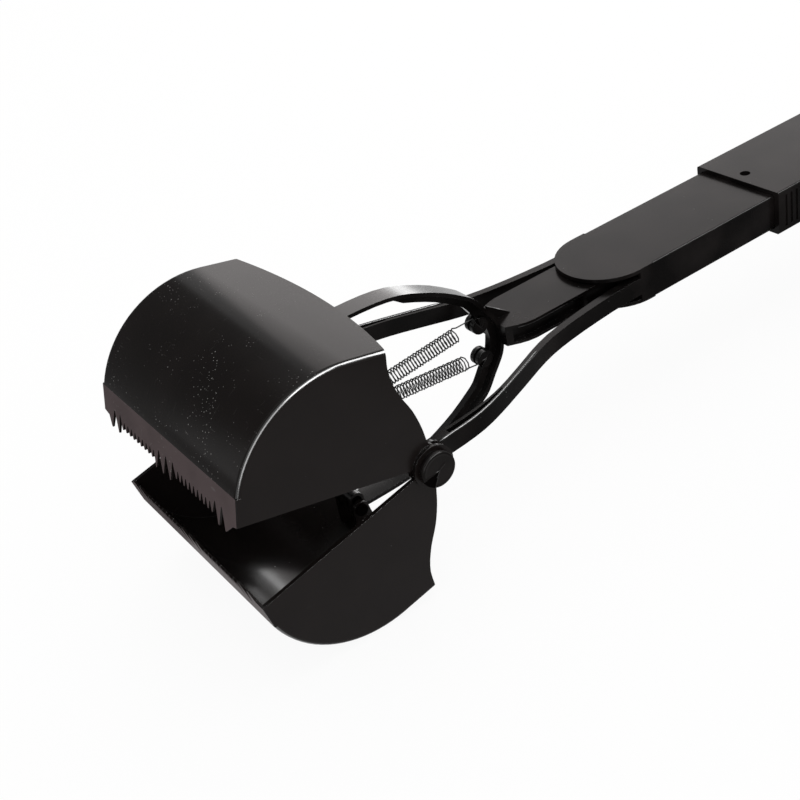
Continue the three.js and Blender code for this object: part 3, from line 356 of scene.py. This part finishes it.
def finished(name, source, materials, edge, pick=None, smoothUpTo=38, rides=True, edgeNumber=-1):
    mesh = bpy.data.meshes.new(name)
    for material in materials:
        mesh.materials.append(material)
    work = bmesh.new()
    work.from_mesh(nodes[source].data)
    bmesh.ops.remove_doubles(work, verts=work.verts, dist=finishValues["mergeWithin"])
    flat = math.radians(finishValues["flatWithin"])
    bmesh.ops.dissolve_limit(work, angle_limit=flat, verts=work.verts, edges=work.edges)
    for face in work.faces:
        face.smooth = True
        face.material_index = pick(face.calc_center_median(), face.normal) if pick else 0
    for seam in work.edges:
        seam.smooth = seam.calc_face_angle(0) < math.radians(smoothUpTo)
    work.to_mesh(mesh)
    work.free()
    made = addObject(name, mesh)
    if edge > 0:
        bevel = made.modifiers.new("roundedEdges", "BEVEL")
        bevel.width = edge
        bevel.segments = finishValues["edgeSegments"]
        bevel.limit_method = "ANGLE"
        bevel.angle_limit = math.radians(smoothUpTo)
        bevel.material = edgeNumber
    weighted = made.modifiers.new("weightedNormals", "WEIGHTED_NORMAL")
    weighted.keep_sharp = True
    if rides:
        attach(made, bodyOf[source])
    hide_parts(source)
    return made


# Jaw faces: 1 for the toothed strip, which looks straight ahead in its own jaw's frame, 2 for a side wall,
# 3 for the rounded rim between the skin and a side wall
jawValues = {
    "opening": math.radians(13.1), "stripAhead": 0.1178, "aheadLean": 0.995, "rimLean": 0.42, "sideLean": 0.9,
    "edge": 0.0003,
}


def jawFaces(lower):
    turn = Matrix.Rotation(jawValues["opening"] if lower else -jawValues["opening"], 3, "Y")

    def pick(middle, normal):
        ahead = (turn @ normal).x < -jawValues["aheadLean"]
        if ahead and (turn @ (Vector(middle) - jawAxle)).x < -jawValues["stripAhead"]:
            return 1
        if abs(normal.y) > jawValues["sideLean"]:
            return 2
        return 3 if abs(normal.y) > jawValues["rimLean"] else 0

    return pick


for nodeName, lower, skinBlack in (("upper_jaw", False, jawBlack), ("lower_jaw", True, innerBlack)):
    finished(nodeName + ".moulded", nodeName, [skinBlack, stripBlack, wallBlack, edgeBlack],
             jawValues["edge"], pick=jawFaces(lower), edgeNumber=3)

# The upward faces of the bow are glossier than the link behind it
bowValues = {"edge": 0.0005, "reach": 0.0985, "upLean": 0.15}


def bowFaces(middle, normal):
    return 1 if middle.x - jawAxle.x < bowValues["reach"] and normal.z > bowValues["upLean"] else 0


finished("bow_link.moulded", "bow_link", [glossBlack, bowBlack], bowValues["edge"], pick=bowFaces)

# Material and edge radius of the plain mouldings
mouldings = {
    "fork": (glossBlack, 0.0002), "shaft": (glossBlack, 0.0002), "hinge_axle": (glossBlack, 0.0003),
    "hinge_cap": (glossBlack, 0.0006), "grip_left": (satinBlack, 0.0005), "grip_right": (satinBlack, 0.0005),
    "trigger": (glossBlack, 0.0004), "pull_rod": (satinBlack, 0.0004), "rod_guide": (satinBlack, 0.0004),
}
for nodeName, (material, edge) in mouldings.items():
    finished(nodeName + ".moulded", nodeName, [material], edge)

# Pins, washers and screws: dark where the photo shows them dark, plated where they are hidden from it
smallPieces = {
    "edge": 0.00015,
    "dark": ["shaft_screw", "upper_jaw_pin", "lower_jaw_pin"],
    "plated": [
        "washer_near", "washer_far", "link_pin", "trigger_link_pin", "trigger_pivot_pin",
        "grip_screw_1", "grip_screw_2", "grip_screw_3", "grip_screw_4",
    ],
}
# The dark pieces take the glossless near-black material: the jaw pins' own dark finish, and painted shade on
# the shaft screw
for finish, material in (("dark", darkPinAndPaintedShade), ("plated", zincSteel)):
    for nodeName in smallPieces[finish]:
        finished(nodeName + "." + finish, nodeName, [material], smallPieces["edge"])
print("mouldings and pins made")

# Springs: the same wires, smoothed, with their placing baked into the mesh and no body to ride with
springValues = {"axleReach": 0.006, "bossReach": 0.09, "smoothUpTo": 80}
for side in ("upper", "lower"):
    wire = finished("spring_" + side + ".wire", "spring_" + side, [springSteel], 0,
                    smoothUpTo=springValues["smoothUpTo"], rides=False)
    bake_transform(wire)
print("springs made")


# Faced discs on the hinge head, on the two spring bosses and round the sleeve's screw, each a grid of turn
# by distance from the middle. How far a point stands proud = (proud - dish * (1 - share ** 2) + a ridge near
# the rim + a lip beside the notch + a raised line) * (1 - notch depth), with the notch between two rays. The
# last rings run down the edge to the face that carries the disc. The raised line runs from the first X and Z
# of curl to the second. The notch's faces take the glossless near-black material, painted shade in the notch.
# In the disc round the sleeve's screw the notch takes in the whole disc, which is then a flat, dark sheet of
# painted shade over the screw hole.
discValues = {
    "hingeHead": {
        "body": "handle", "middle": (0.0, -0.0862, 0.0), "radius": 0.0108, "proud": 0.0009, "dish": 0.0001,
        "ridge": 0.0002, "ridgeShare": 0.88, "notchFrom": -170, "notchTo": -120,
        "notchShift": (-0.0006, -0.0006), "curl": (0.0003, 0.0006, 0.0036, 0.0022),
    },
    "upperBossFace": {
        "body": "pull", "middle": (0.0955, -0.004, 0.012), "radius": 0.0058, "proud": 0.0005, "dish": 0.0002,
        "ridge": 0.0001, "ridgeShare": 0.8, "notchFrom": 95, "notchTo": 125, "notchShift": (0.0, 0.0),
        "curl": (0.0012, -0.002, 0.003, 0.001),
    },
    "lowerBossFace": {
        "body": "pull", "middle": (0.0955, -0.004, -0.012), "radius": 0.0058, "proud": 0.0005, "dish": 0.0002,
        "ridge": 0.0001, "ridgeShare": 0.8, "notchFrom": -170, "notchTo": -140, "notchShift": (0.0, 0.0),
        "curl": (0.001, 0.001, 0.003, 0.0025),
    },
    "paintedScrewHoleShade": {
        "body": "handle", "middle": (0.3308, 0.0015, 0.01535), "radius": 0.0036, "proud": 0.0001, "dish": 0.0,
        "ridge": 0.0, "ridgeShare": 0.8, "notchFrom": 20, "notchTo": 199, "notchShift": (0.0, -0.01),
        "curl": (0.02, 0.02, 0.03, 0.03), "faceUp": True,
    },
}
discRelief = {
    "ridgeWidth": 0.035, "notchOut": -0.00005, "notchIn": 0.0002, "notchDepth": 0.96,
    "lip": 0.0004, "lipGap": 0.00035, "lipWidth": 0.0003, "curl": 0.00035, "curlWidth": 0.0004,
    "edgeShare": 0.965, "lift": 0.00002, "sink": 0.0001,
}


# 0 below low, 1 above high, and share * share * (3 - 2 * share) between them
def smoothStep(value, low, high):
    share = np.clip((value - low) / (high - low), 0, 1)
    return share * share * (3 - 2 * share)


def facedDisc(name, values, turns=96, rings=34):
    relief = discRelief
    turn = np.linspace(0, 2 * np.pi, turns, endpoint=False)[:, None]
    share = np.linspace(0, 1, rings + 1)[None, 1:]
    x = values["radius"] * share * np.cos(turn)
    z = values["radius"] * share * np.sin(turn)
    high = values["proud"] - values["dish"] * (1 - share ** 2) + 0 * turn
    high = high + values["ridge"] * np.exp(-((share - values["ridgeShare"]) / relief["ridgeWidth"]) ** 2)
    fromX, fromZ = x - values["notchShift"][0], z - values["notchShift"][1]
    first, last = np.radians(values["notchFrom"]), np.radians(values["notchTo"])
    inside = np.minimum(-fromX * np.sin(first) + fromZ * np.cos(first),
                        fromX * np.sin(last) - fromZ * np.cos(last))
    notch = smoothStep(inside, relief["notchOut"], relief["notchIn"])
    high = high + relief["lip"] * np.exp(-((inside + relief["lipGap"]) / relief["lipWidth"]) ** 2)
    ax, az, bx, bz = values["curl"]
    along = ((x - ax) * (bx - ax) + (z - az) * (bz - az)) / ((bx - ax) ** 2 + (bz - az) ** 2)
    along = np.clip(along, 0, 1)
    gap = np.hypot(x - ax - along * (bx - ax), z - az - along * (bz - az))
    high = high + relief["curl"] * np.exp(-(gap / relief["curlWidth"]) ** 2)
    rim = 1 - smoothStep(share, relief["edgeShare"], 1.0)
    high = high * (1 - relief["notchDepth"] * notch) * rim + relief["lift"]
    high[:, -1] = -relief["sink"]
    points = np.stack([x, -high, z], axis=-1).reshape(-1, 3)
    top = np.array([[0, -(values["proud"] - values["dish"]), 0]])
    points = np.concatenate([points, top])
    if values.get("faceUp"):
        points = points[:, [0, 2, 1]] * np.array([1, 1, -1])
    points = points + np.array(values["middle"]) + np.array(jawAxle)
    here = (np.arange(turns)[:, None] * rings + np.arange(rings - 1)[None, :]).ravel()
    there = (((np.arange(turns)[:, None] + 1) % turns) * rings + np.arange(rings - 1)[None, :]).ravel()
    quads = np.stack([here, here + 1, there + 1, there], axis=-1)
    inner = np.arange(turns) * rings
    middles = np.stack([inner, np.roll(inner, -1), np.full(turns, turns * rings)], axis=-1)
    mesh = bpy.data.meshes.new(name)
    mesh.from_pydata(points.tolist(), [], quads.tolist() + middles.tolist())
    mesh.polygons.foreach_set("use_smooth", np.ones(len(mesh.polygons), dtype=bool))
    mesh.materials.append(glossBlack)
    mesh.materials.append(darkPinAndPaintedShade)
    # Faces in the notch take the second, glossless near-black material: painted shade in the notch
    low = (notch > 0.5)[:, :-1].ravel().astype(np.int32)
    low = np.concatenate([low, np.zeros(turns, dtype=np.int32)])
    mesh.polygons.foreach_set("material_index", low)
    made = addObject(name, mesh)
    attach(made, values["body"])


for discName, values in discValues.items():
    facedDisc(discName, values)
print("faced discs made")


# Thin rounded lips along the top edges of the arms and the link: a ring of a small circle is carried
# along the edge, point = edge + radius * (cos(turn) * sideways + sin(turn) * up).
lipValues = {
    "nearArmLip": {
        "node": "fork", "body": "handle", "height": 0.0058, "side": -1, "from": 0.009, "to": 0.108,
    },
    "farArmLip": {
        "node": "fork", "body": "handle", "height": 0.0058, "side": 1, "from": 0.009, "to": 0.108,
    },
    "nearLinkLip": {
        "node": "bow_link", "body": "pull", "height": 0.0067, "side": -1, "from": 0.112, "to": 0.166,
    },
}
lipShape = {"radius": 0.0009, "sides": 10, "levelWithin": 0.0003, "placeWithin": 0.00006, "placeDigits": 4}


# Where the outermost edge of a node at one height runs, one point for each place along X
def edgePath(values):
    data = nodes[values["node"]].data
    spots = np.empty(len(data.vertices) * 3)
    data.vertices.foreach_get("co", spots)
    spots = spots.reshape(-1, 3) - np.array(jawAxle)
    level = np.abs(spots[:, 2] - values["height"]) < lipShape["levelWithin"]
    near = spots[:, 1] * values["side"] > 0
    inside = (spots[:, 0] > values["from"]) & (spots[:, 0] < values["to"])
    spots = spots[level & near & inside]
    places = np.unique(np.round(spots[:, 0], lipShape["placeDigits"]))
    same = np.abs(spots[None, :, 0] - places[:, None]) < lipShape["placeWithin"]
    outer = (np.abs(spots[None, :, 1]) * same).max(axis=1)
    return np.stack([places, outer * values["side"], np.full(len(places), values["height"])], axis=-1)


def lipLine(name, values):
    radius, sides = lipShape["radius"], lipShape["sides"]
    path = edgePath(values)
    along = np.gradient(path, axis=0)
    along /= np.linalg.norm(along, axis=1)[:, None]
    sideways = np.stack([-along[:, 1], along[:, 0], 0 * along[:, 0]], axis=-1)
    middle = path - sideways * values["side"] * radius
    turn = np.linspace(0, 2 * np.pi, sides, endpoint=False)
    flat, up = np.cos(turn)[None, :, None], np.sin(turn)[None, :, None]
    ring = sideways[:, None, :] * flat + np.array([0, 0, 1]) * up
    points = (middle[:, None, :] + radius * ring).reshape(-1, 3) + np.array(jawAxle)
    count = len(path)
    row, step = np.meshgrid(np.arange(count - 1), np.arange(sides), indexing="ij")
    here, side = (row * sides + step).ravel(), (row * sides + (step + 1) % sides).ravel()
    quads = np.stack([here, side, side + sides, here + sides], axis=-1).tolist()
    caps = [list(range(sides))[::-1], list(range((count - 1) * sides, count * sides))]
    mesh = bpy.data.meshes.new(name)
    mesh.from_pydata(points.tolist(), [], quads + caps)
    work = bmesh.new()
    work.from_mesh(mesh)
    bmesh.ops.recalc_face_normals(work, faces=work.faces)
    work.to_mesh(mesh)
    work.free()
    mesh.polygons.foreach_set("use_smooth", np.ones(len(mesh.polygons), dtype=bool))
    mesh.materials.append(edgeBlack)
    made = addObject(name, mesh)
    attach(made, values["body"])


for lipName, values in lipValues.items():
    lipLine(lipName, values)
print("lips made")


# Camera at the photographed view, given in the jaw axle's frame
cameraValues = {
    "lens": 61.07, "sensor": 36.0, "clipEnd": 50, "place": (-0.2936, -0.5953, 0.4349),
    "right": (0.80263, -0.57058, -0.17384), "up": (0.44066, 0.3708, 0.81751),
    "forward": (0.402, 0.73277, -0.54905),
}
cameraData = bpy.data.cameras.new("photoView")
cameraData.lens = cameraValues["lens"]
cameraData.sensor_width = cameraValues["sensor"]
cameraData.clip_end = cameraValues["clipEnd"]
cameraObject = addObject("photoView", cameraData)
backward = [-value for value in cameraValues["forward"]]
cameraTurn = Matrix((cameraValues["right"], cameraValues["up"], backward)).transposed().to_4x4()
cameraObject.matrix_world = Matrix.Translation(jawAxle + Vector(cameraValues["place"])) @ cameraTurn
scene.camera = cameraObject
print("camera set")


# Studio: white world and floor, soft lamps, and dark flags that only show in reflections.
# Places and aims are in the jaw axle's frame. A gloss lamp only shows in reflections too.
studio = {
    "floorHalf": 6.0, "floorDrop": 0.0006, "floorColour": (0.92, 0.92, 0.92), "floorShadow": 0.07,
    "worldLevel": 0.75,
    "lamps": {
        "behind": {
            "place": (1.4, 1.42, 0.98), "aim": (0.1, 0.0, 0.0), "size": (1.5, 1.15), "level": 1.55,
            "tint": (1.0, 0.93, 0.915),
        },
        "overhead": {"place": (0.3, 0.1, 1.6), "aim": (0.3, 0.0, 0.0), "size": (1.6, 1.6), "level": 1.0},
        "rimLine": {
            "place": (-0.45, -0.96, 0.6), "aim": (-0.05, -0.05, 0.05), "size": (2.1, 0.5), "level": 9,
            "roll": 38, "glossOnly": True,
        },
        "edgeLine": {
            "place": (0.5, -0.6, 0.95), "aim": (0.1, 0.0, 0.0), "size": (1.7, 0.45), "level": 26,
            "glossOnly": True,
        },
        "bowLine": {
            "place": (1.33, 1.5, 0.27), "aim": (0.1, 0.0, 0.05), "size": (0.5, 0.28), "level": 6,
            "glossOnly": True,
        },
    },
    "flags": {
        "backFlag": {"place": (-0.28, 1.15, 0.3), "aim": (0.09, 0.0, 0.1), "size": (1.2, 1.5), "level": 0.25},
        "leftFlag": {
            "place": (-0.6, 0.62, -0.0868), "aim": (-0.6, 0.62, 1.0), "size": (1.2, 1.1), "level": 0.3,
        },
        "rightFlag": {
            "place": (0.7, -0.28, -0.0868), "aim": (0.7, -0.28, 1.0), "size": (1.2, 0.5), "level": 0.3,
        },
    },
}


# White where the camera, a reflection or glass looks, with part of the plain shader kept so that shadows stay
def whiteForView(tree, plain, shadowShare):
    paths = tree.nodes.new("ShaderNodeLightPath").outputs
    seen = mathNode(tree, "MAXIMUM", paths["Is Camera Ray"], paths["Is Glossy Ray"])
    seen = mathNode(tree, "MAXIMUM", seen, paths["Is Transmission Ray"])
    white = addNode(tree, "ShaderNodeEmission", Strength=1.0)
    share = mathNode(tree, "MULTIPLY", seen, 1.0 - shadowShare)
    mix = addNode(tree, "ShaderNodeMixShader")
    for socket, source in zip(mix.inputs, (share, plain, white.outputs[0])):
        tree.links.new(source, socket)
    return mix.outputs[0]


# A level rectangle about its middle
def sheetMesh(name, wide, high):
    mesh = bpy.data.meshes.new(name)
    x, y = wide / 2, high / 2
    mesh.from_pydata([(-x, -y, 0), (x, -y, 0), (x, y, 0), (-x, y, 0)], [], [(0, 1, 2, 3)])
    return mesh


# Turn an object at a place in the axle's frame so that its -Z looks at its aim
def aimAt(made, values):
    made.location = jawAxle + Vector(values["place"])
    look = Vector(values["aim"]) - Vector(values["place"])
    roll = Matrix.Rotation(math.radians(values.get("roll", 0)), 3, "Z")
    made.rotation_euler = (look.to_track_quat("-Z", "Y").to_matrix() @ roll).to_euler()
    made.visible_camera = False


floorMesh = sheetMesh("studioFloor", 2 * studio["floorHalf"], 2 * studio["floorHalf"])
floorMesh.transform(Matrix.Translation((0, 0, cadBox[0][2] - studio["floorDrop"])))
addObject("studioFloor", floorMesh)
floorMaterial, floorTree = newMaterial("studioFloor")
floorPaint = addNode(floorTree, "ShaderNodeBsdfDiffuse")
floorPaint.inputs[0].default_value = (*studio["floorColour"], 1)
toSurface(floorTree, whiteForView(floorTree, floorPaint.outputs[0], studio["floorShadow"]))
floorMesh.materials.append(floorMaterial)

world = bpy.data.worlds.new("studioWorld")
scene.world = world
world.use_nodes = True
worldTree = world.node_tree
worldTree.nodes.clear()
worldLight = addNode(worldTree, "ShaderNodeBackground", Color=(1, 1, 1, 1), Strength=studio["worldLevel"])
toSurface(worldTree, whiteForView(worldTree, worldLight.outputs[0], 0.0), "ShaderNodeOutputWorld")

# Watts of a lamp whose face shows at a level: level * pi * width * height
for lampName, lamp in studio["lamps"].items():
    lampData = bpy.data.lights.new(lampName, "AREA")
    lampData.shape = "RECTANGLE"
    lampData.size, lampData.size_y = lamp["size"]
    lampData.energy = lamp["level"] * math.pi * lampData.size * lampData.size_y
    lampData.color = lamp.get("tint", (1.0, 1.0, 1.0))
    lampObject = addObject(lampName, lampData)
    aimAt(lampObject, lamp)
    lampObject.visible_diffuse = not lamp.get("glossOnly", False)

for flagName, flag in studio["flags"].items():
    flagMesh = sheetMesh(flagName, *flag["size"])
    flagObject = addObject(flagName, flagMesh)
    aimAt(flagObject, flag)
    flagObject.visible_diffuse = False
    flagObject.visible_shadow = False
    flagObject.visible_transmission = False
    flagMaterial, flagTree = newMaterial(flagName)
    toSurface(flagTree, addNode(flagTree, "ShaderNodeEmission", Strength=flag["level"]).outputs[0])
    flagMesh.materials.append(flagMaterial)
print("studio set")

scene.view_settings.view_transform = "Standard"
